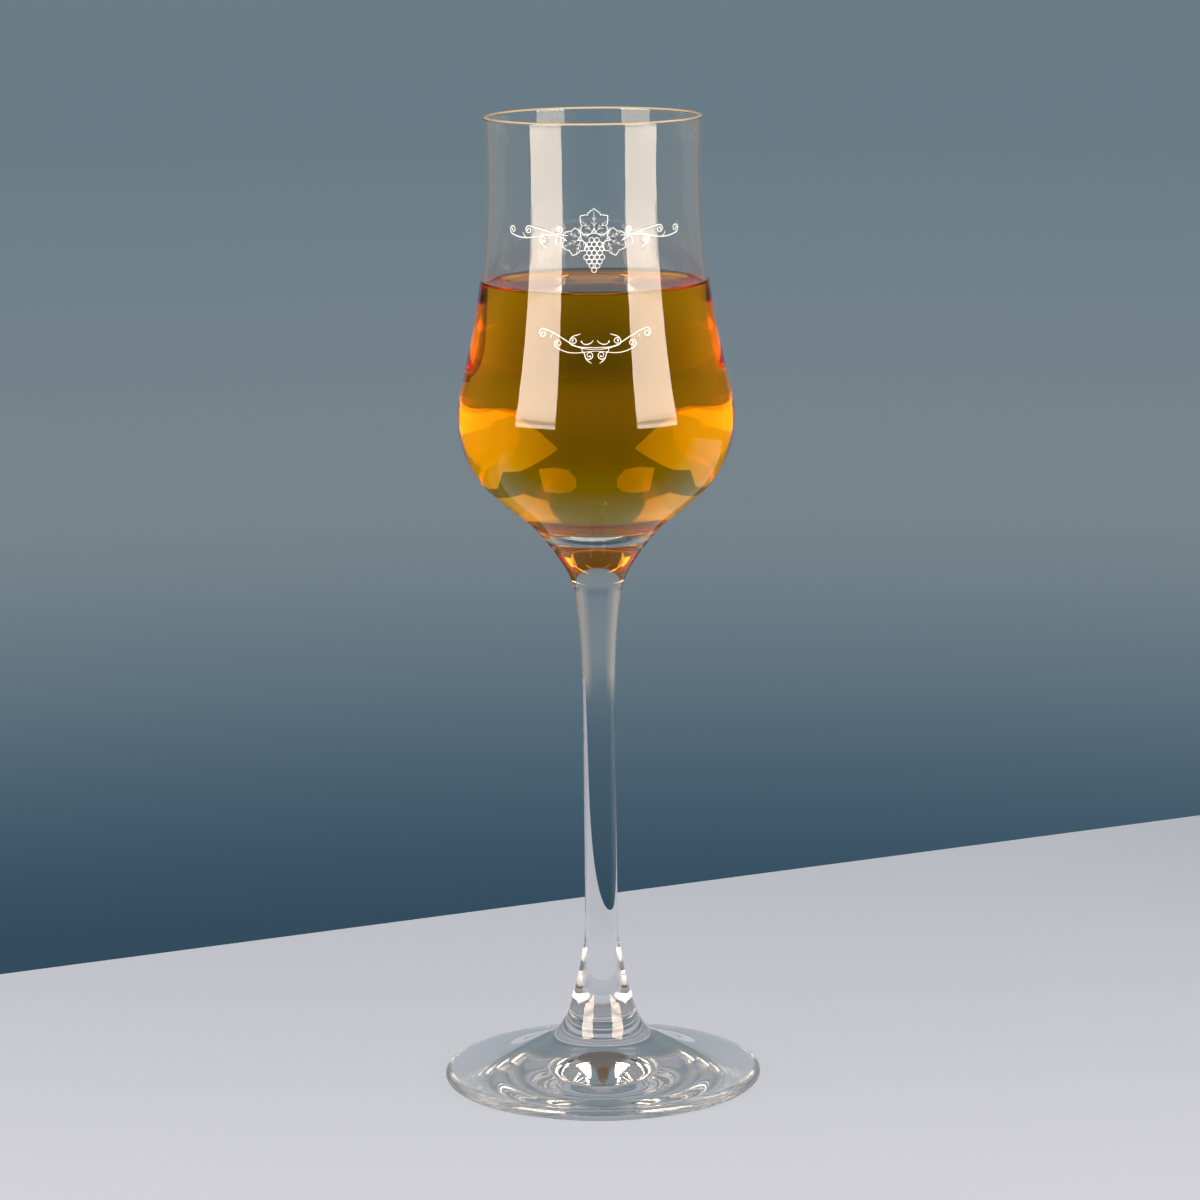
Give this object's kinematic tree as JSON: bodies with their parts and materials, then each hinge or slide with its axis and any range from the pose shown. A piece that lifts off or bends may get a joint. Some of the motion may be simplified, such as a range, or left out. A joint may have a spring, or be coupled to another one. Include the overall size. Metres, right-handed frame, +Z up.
{
  "type": "grappa glass",
  "caption": "Long-stemmed grappa glass: clear tulip bowl with a frosted vine ornament, drawn stem, round foot with a boss, and an amber drink inside.",
  "frame": {"origin": "centre of the foot's underside, on the table", "axes": "+Z up along the axis of the glass, -Y towards the side that carries the ornament"},
  "size_m": [0.0654, 0.0654, 0.2],
  "materials": {
    "foot_glass": "clear, fire-polished",
    "stem_glass": "clear, fire-polished",
    "bowl_glass": "clear, fire-polished, with a frosted ornament on the front",
    "drink": "clear amber liquid"
  },
  "bodies": {
    "root": {"foot": "foot_glass", "stem": "stem_glass", "bowl": "bowl_glass", "drink": "drink"}
  },
  "joints": []
}
